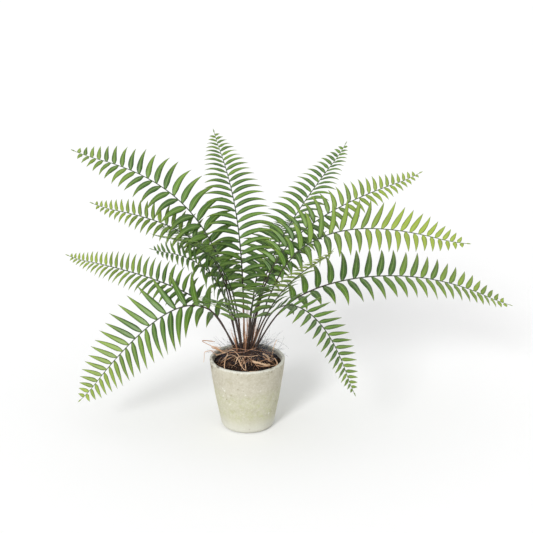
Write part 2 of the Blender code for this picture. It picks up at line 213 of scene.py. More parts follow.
def closedTube(points, radiusAt, sides, flat=1.0, rough=0.0, seed=0.0):
    # a closed tube along points; flat squeezes it, rough makes it uneven
    verts, along, around = [], [], []
    last = len(points) - 1
    up = Vector((0, 0, 1))
    for i, point in enumerate(points):
        way = (points[min(last, i + 1)] - points[max(0, i - 1)]).normalized()
        side = way.cross(up)
        if side.length < 0.05:
            side = way.cross(Vector((0.6, 0.8, 0)))
        side.normalize()
        up = side.cross(way).normalized()
        for k in range(sides):
            angle = 2 * math.pi * k / sides
            ray = side * math.cos(angle) + up * (math.sin(angle) * flat)
            bumpy = 1 + rough * noise.noise(Vector((k * 1.7 + seed, i * 0.45, seed * 3.1)))
            verts.append(point + ray * (radiusAt(i / last) * bumpy))
            along.append(i / last)
            around.append(math.sin(angle) * 0.5 + 0.5)
    faces = gridFaces(len(points), sides)
    faces.append(tuple(reversed(range(sides))))
    faces.append(tuple(range(last * sides, (last + 1) * sides)))
    return verts, faces, along, around


potSizes = {
    "height": 0.125, "rim": 0.065, "foot": 0.0465, "footRound": 0.009, "belly": 0.0016,
    "wall": 0.0058, "sides": 168, "bands": 40,
    "footSteps": 8, "rimSteps": 12, "insideSteps": 10, "insideDepth": 0.030,
    "unevenness": 0.00035, "rimWear": 0.00035, "wearFrom": 0.112,
}


def outerRadius(z):
    share = (z - potSizes["footRound"]) / (potSizes["height"] - potSizes["footRound"])
    taper = potSizes["foot"] + (potSizes["rim"] - potSizes["foot"]) * share
    return taper + potSizes["belly"] * 4 * share * (1 - share)


def innerRadius(z):
    return outerRadius(z) - potSizes["wall"]


def potProfile():
    # (radius, height, wear) from the middle of the underside, up the outside and down the inside
    half = potSizes["wall"] / 2
    top = potSizes["height"] - half
    fr = potSizes["footRound"]
    profile = [(potSizes["foot"] * 0.4, 0.0, 0.0)]
    for i in range(potSizes["footSteps"] + 1):
        angle = math.radians(-90 + 90 * i / potSizes["footSteps"])
        r = potSizes["foot"] - fr + fr * math.cos(angle)
        profile.append((r, fr + fr * math.sin(angle), min(1, i / 4)))
    for i in range(1, potSizes["bands"]):
        z = fr + (top - fr) * i / potSizes["bands"]
        profile.append((outerRadius(z), z, 1.0))
    for i in range(potSizes["rimSteps"] + 1):
        angle = math.radians(180 * i / potSizes["rimSteps"])
        r = outerRadius(top) - half + half * math.cos(angle)
        profile.append((r, top + half * math.sin(angle), 1.0))
    for i in range(1, potSizes["insideSteps"] + 1):
        z = top - potSizes["insideDepth"] * i / potSizes["insideSteps"]
        profile.append((innerRadius(z), z, 1.0))
    return profile


def potPaint():
    paint = Paint("weatheredClay")
    spot = paint.place()
    z = paint.height(spot)
    patches = paint.noise(spot, 45.0, 6.0, 0.7)
    mottle = paint.noise(spot, 240.0, 6.0, 0.75)
    grain = paint.noise(spot, 1100.0, 3.0, 0.6)
    drips = paint.noise(paint.scaled(spot, (1.0, 1.0, 0.12)), 75.0, 4.0, 0.6)
    color = paint.mix(paint.between(patches, 0.30, 0.70), (0.425, 0.392, 0.300), (0.515, 0.488, 0.398))
    middle = 1 - paint.between(z + (patches - 0.5) * 0.05, 0.062, 0.090)
    color = paint.mix(middle * 0.65, color, (0.490, 0.488, 0.350))
    algae = paint.between(paint.noise(spot, 95.0, 6.0, 0.75), 0.46, 0.64)
    low = paint.between(z, 0.012, 0.034) * (1 - paint.between(z, 0.060, 0.092))
    color = paint.mix(algae * low * 0.55, color, (0.420, 0.440, 0.215))
    color = paint.mix(paint.between(mottle, 0.44, 0.66) * 0.50, color, (0.640, 0.625, 0.545))
    color = paint.mix(paint.between(drips, 0.56, 0.76) * 0.30, color, (0.36, 0.33, 0.24))
    stains = paint.between(paint.noise(spot, 70.0, 8.0, 0.8), 0.52, 0.60)
    color = paint.mix(stains * 0.35, color, (0.36, 0.33, 0.22))
    foot = 1 - paint.between(z + mottle * 0.02, 0.018, 0.044)
    color = paint.mix(foot * 0.65, color, (0.62, 0.62, 0.56))
    rim = paint.between(z + (mottle - 0.5) * 0.012, 0.1212, 0.1240)
    color = paint.mix(rim * 0.75, color, (0.690, 0.690, 0.630))
    specks = paint.add("ShaderNodeTexVoronoi", None, {"Vector": spot, "Scale": 170.0})
    rare = paint.between(paint.noise(spot, 70.0, 2.0), 0.60, 0.66)
    color = paint.mix((1 - paint.between(specks, 0.10, 0.22)) * rare * 0.9, color, (0.17, 0.12, 0.07))
    chalk = paint.add("ShaderNodeTexVoronoi", None, {"Vector": spot, "Scale": 78.0})
    dots = (1 - paint.between(chalk, 0.08, 0.20)) * paint.between(patches, 0.52, 0.62)
    color = paint.mix(dots * 0.8, color, (0.72, 0.72, 0.68))
    # dark scratches under the rim
    lines = paint.noise(paint.scaled(spot, (0.35, 0.35, 1.0)), 300.0, 4.0, 0.6)
    scuffed = paint.between(z, 0.106, 0.117) * paint.between(paint.noise(spot, 28.0, 2.0), 0.50, 0.62)
    color = paint.mix(paint.between(lines, 0.50, 0.58) * scuffed * 0.85, color, (0.14, 0.11, 0.08))
    color = paint.mix(paint.between(grain, 0.35, 0.65) * 0.20, color, (0.34, 0.31, 0.24))
    height = mottle * 0.55 + grain * 0.25 + patches * 0.5
    return paint.finish(color, 0.78 + mottle * 0.2, height, 0.0012, 0.7)


def makePot(material):
    profile = potProfile()
    sides = potSizes["sides"]
    verts = []
    for r, z, wear in profile:
        nearRim = max(0.0, (z - potSizes["wearFrom"]) / (potSizes["height"] - potSizes["wearFrom"]))
        for k in range(sides):
            angle = 2 * math.pi * k / sides
            way = Vector((math.cos(angle), math.sin(angle), 0))
            spot = way * r + Vector((0, 0, z))
            push = noise.fractal(spot * 45, 1.0, 2.0, 4) * potSizes["unevenness"]
            chip = max(0.0, noise.noise(spot * 120 + Vector((3, 1, 7))) - 0.25)
            sink = nearRim * potSizes["rimWear"] * (noise.noise(way * 4.0) + 2.2 * chip)
            verts.append(spot + way * (push * wear) - Vector((0, 0, sink * wear)))
    faces = gridFaces(len(profile), sides)
    faces.append(tuple(reversed(range(sides))))
    start = (len(profile) - 1) * sides
    faces.append(tuple(range(start, start + sides)))
    shape = Shape()
    shape.add(verts, faces)
    shape.build("clayPot", [material], "clay", "pot")


soilSizes = {
    "drop": 0.0095, "rise": 0.016, "fall": 1.6, "seat": 0.030, "sides": 220, "rings": 70,
    "lumps": 0.0011, "grain": 0.0007, "skirt": 0.016, "tuck": 0.0002,
    "crumbs": 1500, "crumbReach": 0.0575,
    "fibres": 170, "fibreStart": 0.054, "fibreReach": 0.056, "fibreThickness": 0.00022,
    "fibreSteps": 7, "fibreStep": (0.0012, 0.0026), "fibreLift": (0.0003, 0.0012),
}


def soilHeight(r):
    edge = potSizes["height"] - soilSizes["drop"]
    reach = innerRadius(edge)
    share = min(1, max(0, (r - soilSizes["seat"]) / (reach - soilSizes["seat"])))
    return edge + soilSizes["rise"] * (1 - share) ** soilSizes["fall"]


def soilTop(x, y):
    spot = Vector((x, y, 0))
    lumps = noise.fractal(spot * 130, 0.9, 2.1, 3) * soilSizes["lumps"]
    grain = noise.noise(spot * 620) * soilSizes["grain"]
    return soilHeight(math.hypot(x, y)) + lumps + grain


def soilPaint():
    paint = Paint("pottingSoil", **{"Specular IOR Level": 0.2})
    spot = paint.place()
    tone = paint.value("tone")
    clods = paint.noise(spot, 260.0, 5.0, 0.7)
    fine = paint.noise(spot, 1500.0, 3.0, 0.6)
    stops = [(0.25, (0.005, 0.003, 0.0025)), (0.52, (0.018, 0.010, 0.007)), (0.78, (0.060, 0.030, 0.019))]
    color = paint.add("ShaderNodeValToRGB", {"stops": stops}, {0: clods})
    color = paint.mix(paint.between(tone, 0.50, 1.0), color, (0.15, 0.068, 0.037))
    return paint.finish(color, 0.85 + fine * 0.15, clods + fine * 0.5, 0.0012, 1.0)


def lump(rng, center, size):
    # a small broken crumb: an octahedron with uneven corners
    verts = []
    for way in ((1, 0, 0), (-1, 0, 0), (0, 1, 0), (0, -1, 0), (0, 0, 0.75), (0, 0, -0.75)):
        verts.append(center + Vector(way) * (size * rng.uniform(0.6, 1.25)))
    faces = [(0, 2, 4), (2, 1, 4), (1, 3, 4), (3, 0, 4), (2, 0, 5), (1, 2, 5), (3, 1, 5), (0, 3, 5)]
    return verts, faces


def makeSoil(material):
    sides, rings = soilSizes["sides"], soilSizes["rings"]
    reach = innerRadius(potSizes["height"] - soilSizes["drop"]) + soilSizes["tuck"]
    verts = []
    for i in range(1, rings + 1):
        r = reach * i / rings
        for k in range(sides):
            angle = 2 * math.pi * k / sides
            x, y = r * math.cos(angle), r * math.sin(angle)
            verts.append(Vector((x, y, soilTop(x, y))))
    low = potSizes["height"] - soilSizes["drop"] - soilSizes["skirt"]
    for k in range(sides):
        way = heading(360 * k / sides)
        verts.append(way * innerRadius(low) + Vector((0, 0, low)))
    faces = [tuple(reversed(face)) for face in gridFaces(rings + 1, sides)]
    faces.append(tuple(range(sides)))
    start = rings * sides
    faces.append(tuple(reversed(range(start, start + sides))))
    shape = Shape()
    shape.add(verts, faces, tone=0.0)
    rng = random.Random(11)
    for _ in range(soilSizes["crumbs"]):
        r = soilSizes["crumbReach"] * math.sqrt(rng.random())
        angle = rng.uniform(0, 2 * math.pi)
        size = 0.0005 + 0.0013 * rng.random() ** 3
        x, y = r * math.cos(angle), r * math.sin(angle)
        crumb = lump(rng, Vector((x, y, soilTop(x, y) + size * 0.35)), size)
        shape.add(*crumb, tone=rng.random() ** 3)
    shape.build("soilMound", [material], "soil", "soil")


def makeSoilFibres(material):
    # fine brown rootlets lying on the soil
    rng = random.Random(23)
    shape = Shape()
    for _ in range(soilSizes["fibres"]):
        r = soilSizes["fibreStart"] * math.sqrt(rng.random())
        turn = rng.uniform(0, 360)
        spot = heading(rng.uniform(0, 360)) * r
        route = []
        for _ in range(soilSizes["fibreSteps"]):
            spot = spot + heading(turn) * rng.uniform(*soilSizes["fibreStep"])
            turn += rng.uniform(-40, 40)
            if spot.length > soilSizes["fibreReach"]:
                break
            lift = rng.uniform(*soilSizes["fibreLift"])
            route.append(Vector((spot.x, spot.y, soilTop(spot.x, spot.y) + lift)))
        if len(route) > 3:
            thick = soilSizes["fibreThickness"]
            tube = closedTube(smoothRoute(route, 2), lambda t: thick * (1 - 0.6 * t), 4)
            shape.addTube(tube, rng.random())
    shape.build("soilRootlets", [material], "soil")


crownSizes = {
    "radius": 0.024, "height": 0.011, "x": -0.003, "y": 0.004, "gap": 0.0003,
    "sides": 96, "rings": 22, "knobs": 0.0030, "scales": 300, "scaleSink": 0.0006,
    "scaleLength": (0.002, 0.0065), "scaleWidth": (0.0005, 0.0011),
}


def crownHeight(r):
    dome = crownSizes["height"] * math.sqrt(max(0, 1 - (r / crownSizes["radius"]) ** 2))
    return soilHeight(0) + crownSizes["gap"] + dome


def crownPaint():
    paint = Paint("crownScales")
    spot = paint.place()
    tone = paint.value("tone")
    streaks = paint.noise(paint.scaled(spot, (1.0, 1.0, 0.25)), 700.0, 4.0, 0.6)
    color = paint.mix(paint.between(streaks, 0.3, 0.7), (0.014, 0.008, 0.006), (0.060, 0.030, 0.019))
    color = paint.mix(tone * 0.7, color, (0.16, 0.075, 0.038))
    return paint.finish(color, 0.75 + streaks * 0.2, streaks, 0.0008, 0.8)


def makeCrown(material):
    sides, rings = crownSizes["sides"], crownSizes["rings"]
    center = Vector((crownSizes["x"], crownSizes["y"], 0))
    base = soilHeight(0)
    verts = []
    for i in range(1, rings + 1):
        angle = math.pi / 2 * i / rings
        for k in range(sides):
            out = heading(360 * k / sides)
            ray = out * (crownSizes["radius"] * math.sin(angle))
            ray.z = crownSizes["height"] * math.cos(angle)
            bumpy = noise.fractal((center + ray) * 170, 0.8, 2.0, 3) * crownSizes["knobs"]
            spot = center + ray + ray.normalized() * bumpy
            spot.z = base + max(0, spot.z)
            verts.append(spot)
    faces = [tuple(reversed(face)) for face in gridFaces(rings, sides)]
    faces.append(tuple(range(sides)))
    start = (rings - 1) * sides
    faces.append(tuple(reversed(range(start, start + sides))))
    shape = Shape()
    shape.add(verts, faces, tone=0.1)
    rng = random.Random(5)
    for _ in range(crownSizes["scales"]):
        r = crownSizes["radius"] * math.sqrt(rng.random()) * 0.98
        azimuth = rng.uniform(0, 360)
        foot = center + heading(azimuth) * r
        foot.z = crownHeight(r) - crownSizes["scaleSink"]
        lean = rng.uniform(0.15, 1.1) * (0.4 + r / crownSizes["radius"])
        way = (heading(azimuth + rng.uniform(-35, 35)) * lean + Vector((0, 0, 1))).normalized()
        length = rng.uniform(*crownSizes["scaleLength"])
        width = rng.uniform(*crownSizes["scaleWidth"])
        route = [foot + way * (length * t / 4) for t in range(5)]
        tube = closedTube(route, lambda t: width * (1 - 0.9 * t) + 0.00006, 5, 0.35, 0.4, rng.random())
        shape.add(tube[0], tube[1], tone=rng.random() ** 2)
    shape.build("crownMass", [material], "crown", "crown")


# fine dark hair roots round the crown
hairSizes = {
    "count": 300, "thickness": 0.00014, "steps": 16, "reach": 0.0031, "curl": 0.22, "shake": 0.20,
    "from": (0.018, 0.040), "sink": 0.001,
    "wall": 0.054, "farthest": 0.072, "overSoil": 0.0006, "overRim": 0.001,
}


def hairPaint():
    paint = Paint("hairRoots")
    tone = paint.value("tone")
    color = paint.mix(tone, (0.020, 0.022, 0.034), (0.11, 0.12, 0.16))
    return paint.finish(color, 0.55 + tone * 0.2)


def makeHairs(material):
    rng = random.Random(41)
    shape = Shape()
    for index in range(hairSizes["count"]):
        azimuth = rng.gauss(95, 75) if index % 4 else rng.gauss(15, 35)
        start = heading(azimuth) * rng.uniform(*hairSizes["from"])
        long = 1.0 + (index % 9 == 0) * rng.uniform(0.4, 1.0)
        climb = rng.uniform(0.2, 1.5)
        way = heading(azimuth + rng.uniform(-60, 60)) + Vector((0, 0, climb))
        spot = Vector((start.x, start.y, soilHeight(start.length) - hairSizes["sink"]))
        route = [spot]
        curl = Vector((rng.uniform(-1, 1), rng.uniform(-1, 1), rng.uniform(-0.8, 0.5)))
        for _ in range(hairSizes["steps"]):
            shake = Vector((rng.uniform(-1, 1), rng.uniform(-1, 1), rng.uniform(-1, 1)))
            way = way.normalized() + curl * hairSizes["curl"] + shake * hairSizes["shake"]
            way.normalize()
            spot = spot + way * (hairSizes["reach"] * long * rng.uniform(0.6, 1.0))
            r = math.hypot(spot.x, spot.y)
            belowRim = spot.z < potSizes["height"] + hairSizes["overRim"]
            if r > hairSizes["farthest"] or (r > hairSizes["wall"] and belowRim):
                break
            spot.z = max(spot.z, soilHeight(r) + hairSizes["overSoil"])
            route.append(spot.copy())
        if len(route) < 4:
            continue
        width = hairSizes["thickness"] * rng.uniform(0.7, 1.5)
        tube = closedTube(route, lambda t: width * (1 - 0.5 * t), 3)
        shape.add(tube[0], tube[1], tone=rng.random())
    shape.build("hairRoots", [material], "crown")


# a stipe leaves the crown at the rise angle and turns by the turn angle round the share called bend
planFields = "name azimuth sweep seat rise turn bend droop face length bare leaflet pairs"
FrondPlan = namedtuple("FrondPlan", planFields)
frondPlans = [
    FrondPlan("left_high", 166, 0, 0.29, 80, 52, 0.60, 22, 38, 0.48, 0.30, 0.064, 20),
    FrondPlan("left_upper", 178, 0, 0.60, 82, 70, 0.50, 3, 36, 0.39, 0.27, 0.048, 24),
    FrondPlan("left_front", 205, 0, 0.54, 78, 58, 0.70, 10, 30, 0.27, 0.28, 0.050, 17),
    FrondPlan("left_edge", 218, 0, 0.33, 84, 48, 0.60, 22, -10, 0.32, 0.28, 0.048, 18),
    FrondPlan("left_middle", 165, 0, 0.75, 60, 36, 0.25, 20, 34, 0.35, 0.26, 0.044, 25),
    FrondPlan("left_low", 186, 20, 0.79, 68, 108, 0.28, 10, 42, 0.37, 0.17, 0.076, 20),
    FrondPlan("top", 112, 0, 0.21, 88, 46, 0.72, 10, 0, 0.39, 0.25, 0.066, 25),
    FrondPlan("right_high", 47, 0, 0.33, 72, 31, 0.40, 8, 0, 0.41, 0.27, 0.064, 24),
    FrondPlan("right_upper", 14, 0, 0.37, 80, 46, 0.42, 22, 38, 0.45, 0.28, 0.046, 25),
    FrondPlan("right_middle", -16, 0, 0.46, 74, 70, 0.50, 18, 34, 0.49, 0.30, 0.066, 21),
    FrondPlan("right_long", 4, 0, 0.75, 64, 27, 0.20, 70, 26, 0.50, 0.18, 0.066, 23),
    FrondPlan("right_low", -34, -8, 0.79, 72, 110, 0.42, 32, 6, 0.32, 0.24, 0.050, 20),
    FrondPlan("right_short", -50, 0, 0.54, 63, 14, 0.50, 16, 0, 0.31, 0.28, 0.040, 17),
    FrondPlan("inner_right", 24, 0, 0.17, 80, 45, 0.50, 14, 0, 0.25, 0.32, 0.048, 13),
    FrondPlan("front_right", -74, 0, 0.50, 78, 44, 0.55, 16, 0, 0.22, 0.30, 0.046, 12),
    FrondPlan("front_left", 242, 0, 0.62, 76, 50, 0.50, 20, 0, 0.21, 0.30, 0.046, 12),
    FrondPlan("back_right", 70, 0, 0.58, 76, 60, 0.50, 26, 0, 0.32, 0.28, 0.050, 17),
    FrondPlan("back_left", 128, 0, 0.58, 74, 60, 0.50, 26, 0, 0.33, 0.28, 0.050, 17),
]
stipeSizes = {
    "width": 0.0032, "height": 0.0030, "end": 0.28, "bareSegments": 7, "crowding": 0.35,
    "faceReached": 0.4, "flick": 14, "flickFrom": 0.9, "turnPower": 4, "sides": 9, "between": 3,
    "groove": 0.72,
}
leafletSizes = {
    "least": 0.004, "base": 0.62, "swell": 1.6, "taperFrom": 2.3, "taperEnd": 0.8,
    "swing": 74, "swingLoss": 8, "lift": 12, "backturn": 0.22, "droop": 0.28,
    "fill": 1.2, "maxWidth": 0.0125,
    # the blade itself
    "sections": 14, "neck": 0.30, "widest": 0.24, "point": 1.75, "thickness": 0.00042,
    "arch": 0.26, "midrib": 0.10, "wave": 0.0009, "waveFrom": 0.003, "twist": 0.45,
    "stray": 0.022, "match": 0.0003, "endLength": 0.008, "endWidth": 0.0022,
}
# ways that a leaflet may give way to its neighbours: swing and lift in degrees, share of length
leafletWays = [
    (0, 0, 1.0), (0, 10, 1.0), (0, -10, 1.0), (-10, 0, 1.0), (10, 0, 1.0), (0, 20, 0.95),
    (0, -20, 0.95), (-18, 10, 0.9), (10, -20, 0.85), (0, 32, 0.8), (0, 0, 0.75), (0, -32, 0.75),
    (-22, 22, 0.6), (0, 12, 0.55), (0, -12, 0.55), (0, 0, 0.4),
]
Station = namedtuple("Station", "point along side up share")
Leaflet = namedtuple("Leaflet", "root middle tip along width")
# how pale and yellow a frond's outer part is, from 0 to 1
frondYouth = {
    "left_high": 0.55, "left_upper": 0.75, "left_front": 0.45, "left_edge": 0.6, "left_middle": 0.85,
    "left_low": 0.75, "top": 0.5, "right_high": 0.4, "right_upper": 0.8, "right_middle": 0.95,
    "right_long": 0.7, "right_low": 0.6, "right_short": 1.0, "inner_right": 0.3, "front_right": 0.2,
    "front_left": 0.2, "back_right": 0.35, "back_left": 0.35,
}


def leafPaint():
    paint = Paint("fernLeaf", **{"Specular IOR Level": 0.6})
    spot = paint.place()
    along = paint.value("along")
    across = abs(paint.value("across"))
    tone = paint.value("tone")
    young = paint.value("young")
    under = paint.value("under")
    blotches = paint.noise(spot, 85.0, 3.0, 0.55)
    deep = paint.between(blotches * 0.5 + tone * 0.5, 0.2, 0.8)
    color = paint.mix(deep, (0.037, 0.104, 0.008), (0.100, 0.210, 0.016))
    color = paint.mix(paint.between(young + tone * 0.15, 0.40, 0.95), color, (0.305, 0.398, 0.035))
    color = paint.mix(paint.between(along, 0.45, 1.0) * 0.45, color, (0.272, 0.368, 0.030))
    # a paler, greyer midrib: partly the midrib's own paler colour, partly a painted highlight of the sheen
    # along the arched blade
    color = paint.mix((1 - paint.between(across, 0.05, 0.24)) * 0.50, color, (0.290, 0.430, 0.120))
    color = paint.mix(paint.between(across, 0.70, 1.0) * 0.35, color, (0.020, 0.075, 0.006))
    color = paint.mix(under * 0.35, color, (0.130, 0.190, 0.040))
    streaks = paint.add("ShaderNodeCombineXYZ", None, {0: across * 5.0, 1: along * 0.8, 2: tone * 30.0})
    streaks = paint.between(paint.noise(streaks, 2.0, 2.0), 0.48, 0.68)
    color = paint.mix(streaks * 0.35, color, (0.030, 0.075, 0.010))
    dry = paint.between(along + tone * 0.06, 0.955, 1.03)
    color = paint.mix(dry * 0.8, color, (0.20, 0.13, 0.05))
    freckles = paint.between(paint.noise(spot, 420.0, 2.0), 0.62, 0.74)
    color = paint.mix(freckles * 0.25, color, (0.20, 0.19, 0.05))
    # side veins leave the midrib forwards
    veins = paint.add("ShaderNodeMath", {"operation": "SINE"}, {0: along * 150.0 - across * 16.0})
    ribs = veins * 0.12 + (1 - paint.between(across, 0.0, 0.16)) * 0.8
    rough = 0.30 + blotches * 0.16 + under * 0.18
    return paint.finish(color, rough, ribs + blotches * 0.3, 0.0005, 0.6)


def stipePaint():
    paint = Paint("fernStipe")
    spot = paint.place()
    young = paint.value("young")
    streaks = paint.noise(paint.scaled(spot, (1.0, 1.0, 0.2)), 480.0, 4.0, 0.6)
    dark = paint.mix(paint.between(streaks, 0.3, 0.7), (0.020, 0.011, 0.009), (0.070, 0.040, 0.026))
    green = paint.mix(paint.between(streaks, 0.3, 0.7), (0.022, 0.036, 0.018), (0.060, 0.088, 0.036))
    color = paint.mix(paint.between(young, 0.22, 0.50), dark, green)
    color = paint.mix(paint.between(young, 0.80, 1.0) * 0.6, color, (0.14, 0.22, 0.05))
    return paint.finish(color, 0.42 + streaks * 0.25, streaks, 0.0004, 0.5)


def slope(plan, share):
    power = stipeSizes["turnPower"]
    knee = share ** power * (1 + plan.bend ** power) / (share ** power + plan.bend ** power)
    start = stipeSizes["flickFrom"]
    flick = stipeSizes["flick"] * max(0, share - start) / (1 - start)
    return math.radians(plan.rise - plan.turn * knee - plan.droop * share + flick)


def frondShares(plan):
    steps = stipeSizes["bareSegments"]
    shares = [plan.bare * i / steps for i in range(steps)]
    for i in range(2 * plan.pairs + 1):
        u = i / (2 * plan.pairs)
        shares.append(plan.bare + (1 - plan.bare) * (u + stipeSizes["crowding"] * u * (1 - u)))
    return shares


def crownSeat(plan, direction):
    out = heading(plan.azimuth)
    seat = out * (plan.seat * crownSizes["radius"])
    side = Vector((-out.y, out.x, 0)) * (stipeSizes["width"] / 2)
    up = direction.cross(side)
    corners = [seat + side + up, seat + side - up, seat - side + up, seat - side - up]
    seat.z = crownSizes["gap"] + max(crownHeight(corner.xy.length) - corner.z for corner in corners)
    return Vector((crownSizes["x"], crownSizes["y"], 0)) + seat


def growRachis(plan):
    shares = frondShares(plan)
    rise = math.radians(plan.rise)
    first = heading(plan.azimuth) * math.cos(rise) + Vector((0, 0, math.sin(rise)))
    point = crownSeat(plan, first)
    stations = []
    for i, share in enumerate(shares):
        angle = slope(plan, share)
        out = heading(plan.azimuth + plan.sweep * share ** 2)
        along = out * math.cos(angle) + Vector((0, 0, math.sin(angle)))
        side = Vector((-out.y, out.x, 0))
        up = along.cross(side)
        roll = math.radians(plan.face) * min(1, share / stipeSizes["faceReached"])
        if side.y < 0:
            roll = -roll
        rolled = side * math.cos(roll) + up * math.sin(roll)
        stations.append(Station(point.copy(), along, rolled, along.cross(rolled), share))
        if i + 1 < len(shares):
            point += along * plan.length * (shares[i + 1] - share)
    return stations


def shapeLeaflet(plan, near, far, sideSign, way):
    swingMore, liftMore, shorten = way
    sizes = leafletSizes
    u = ((near.share + far.share) / 2 - plan.bare) / (1 - plan.bare)
    swell = min(1, sizes["base"] + sizes["swell"] * u)
    taper = (1 - u ** sizes["taperFrom"]) ** sizes["taperEnd"]
    length = (sizes["least"] + plan.leaflet * swell * taper) * shorten
    swing = math.radians(sizes["swing"] - sizes["swingLoss"] * u + swingMore)
    lift = math.radians(sizes["lift"] + liftMore)
    root = (near.point + far.point) / 2
    out = near.side * sideSign
    flat = near.along * math.cos(swing) + out * math.sin(swing)
    first = flat * math.cos(lift) + near.up * math.sin(lift)
    turned = swing + sizes["backturn"]
    bend = near.along * math.cos(turned) + out * math.sin(turned)
    second = bend * math.cos(lift) + near.up * math.sin(lift) - Vector((0, 0, sizes["droop"]))
    middle = root + first * (length / 2)
    tip = middle + second.normalized() * (length / 2)
    along = (near.along - first * near.along.dot(first)).normalized()
    spacing = (far.point - near.point).length
    return Leaflet(root, middle, tip, along, min(sizes["fill"] * spacing, sizes["maxWidth"]))


def bladeWidth(t):
    # share of the full width, from a short neck to a drawn-out point
    widest = leafletSizes["widest"]
    if t < widest:
        return leafletSizes["neck"] + (1 - leafletSizes["neck"]) * math.sin(t / widest * math.pi / 2)
    return 1 - ((t - widest) / (1 - widest)) ** leafletSizes["point"]


def addBlade(shape, leaflet, sideSign, young, rng):
    # a thin closed blade, arched across, with a sunken midrib; its edges are shared by both faces
    sizes = leafletSizes
    reach = (leaflet.tip - leaflet.root).length * sizes["stray"]
    tip = leaflet.tip + Vector((rng.gauss(0, reach), rng.gauss(0, reach), rng.gauss(0, reach)))
    control = leaflet.middle * 2 - (leaflet.root + tip) / 2
    across = (-1.0, -0.55, -0.16, 0.0, 0.16, 0.55, 1.0)
    twist = rng.uniform(-sizes["twist"], sizes["twist"])
    phase = rng.uniform(0, 50)
    last = sizes["sections"] - 1
    rows = []
    for i in range(last):
        t = i / last
        point = leaflet.root * (1 - t) ** 2 + control * (2 * t * (1 - t)) + tip * t ** 2
        way = ((control - leaflet.root) * (1 - t) + (tip - control) * t).normalized()
        wide = (leaflet.along - way * leaflet.along.dot(way)).normalized()
        up = way.cross(wide) * -sideSign
        turn = twist * t
        wide, up = wide * math.cos(turn) + up * math.sin(turn), up * math.cos(turn) - wide * math.sin(turn)
        half = leaflet.width / 2 * bladeWidth(t)
        wavy = sizes["wave"] * min(1, half / sizes["waveFrom"])
        rows.append((t, point, wide, up, half, wavy))
    verts, along, sides, under = [], [], [], []
    for t, point, wide, up, half, wavy in rows:
        for face in (1, -1):
            for a in across if face > 0 else across[1:-1]:
                arch = -sizes["arch"] * half * a * a - sizes["midrib"] * half * max(0, 1 - abs(a) / 0.3)
                ripple = wavy * abs(a) * noise.noise(Vector((t * 5 + phase, a * 1.5, phase)))
                body = sizes["thickness"] / 2 * (1 - a * a) * (1 - 0.5 * t) * face
                verts.append(point + wide * (half * a) + up * (arch + ripple + body))
                along.append(t)
                sides.append(a)
                under.append(0.0 if face > 0 else 1.0 if abs(a) < 1 else 0.5)
    verts.append(tip)
    along.append(1.0)
    sides.append(0.0)
    under.append(0.5)
    ring = len(across) * 2 - 2
    # over the upper face, then back under it
    order = list(range(len(across))) + list(range(ring - 1, len(across) - 1, -1))
    faces = []
    for i in range(len(rows) - 1):
        for k in range(ring):
            a, b = order[k], order[(k + 1) % ring]
            faces.append((i * ring + a, i * ring + b, (i + 1) * ring + b, (i + 1) * ring + a))
    end = (len(rows) - 1) * ring
    for k in range(ring):
        faces.append((end + order[k], end + order[(k + 1) % ring], len(verts) - 1))
    faces.append(tuple(reversed(order)))
    if sideSign > 0:
        faces = [tuple(reversed(face)) for face in faces]
    shape.add(verts, faces, 0, along=along, across=sides, under=under, tone=rng.random(), young=young)


def addRachis(shape, stations):
    sizes = stipeSizes
    points = smoothRoute([s.point for s in stations], sizes["between"])
    sideWays = smoothRoute([s.side for s in stations], sizes["between"])
    upWays = smoothRoute([s.up for s in stations], sizes["between"])
    shares = smoothRoute([Vector((s.share, 0, 0)) for s in stations], sizes["between"])
    verts, young = [], []
    for point, side, up, share in zip(points, sideWays, upWays, shares):
        shrink = 1 - (1 - sizes["end"]) * share.x
        for k in range(sizes["sides"]):
            angle = 2 * math.pi * k / sizes["sides"] + math.pi / 2
            groove = sizes["groove"] if k == 0 else 1.0
            ray = side * (math.cos(angle) * sizes["width"]) + up * (math.sin(angle) * sizes["height"])
            verts.append(point + ray * (shrink * groove / 2))
            young.append(share.x)
    faces = [tuple(reversed(face)) for face in gridFaces(len(points), sizes["sides"])]
    faces.append(tuple(range(sizes["sides"])))
    start = (len(points) - 1) * sizes["sides"]
    faces.append(tuple(reversed(range(start, start + sizes["sides"]))))
    shape.add(verts, faces, 1, young=young)


def frameTips(node):
    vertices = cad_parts[node].data.vertices
    tree = KDTree(len(vertices))
    for vertex in vertices:
        tree.insert(vertex.co, vertex.index)
    tree.balance()
    return tree


def makeFrond(plan, number, materials):
    stations = growRachis(plan)
    tips = frameTips("frond_" + plan.name)
    rng = random.Random(100 + number)
    youth = frondYouth[plan.name]
    shape = Shape()
    addRachis(shape, stations)
    matched, missing = 0, 0
    for i in range(stipeSizes["bareSegments"], len(stations) - 2):
        near, far = stations[i], stations[i + 1]
        sideSign = 1 - 2 * (i % 2)
        for way in leafletWays:
            leaflet = shapeLeaflet(plan, near, far, sideSign, way)
            if tips.find(leaflet.tip)[2] < leafletSizes["match"]:
                addBlade(shape, leaflet, sideSign, near.share * youth, rng)
                matched += 1
                break
        else:
            missing += 1
    end = stations[-1]
    reach = end.along * leafletSizes["endLength"]
    last = Leaflet(end.point, end.point + reach / 2, end.point + reach, end.side, leafletSizes["endWidth"])
    addBlade(shape, last, 1, youth, rng)
    shape.build("fern_" + plan.name, materials, "leaf", "frond_" + plan.name)
    return matched, missing


# stubs of dead fronds: name, azimuth, seat, rise, length
dryStipes = [
    ("middle", 300, 0.04, 87, 0.085), ("right", 28, 0.62, 66, 0.055),
    ("left", 222, 0.79, 80, 0.034), ("back", 98, 0.67, 78, 0.046),
]
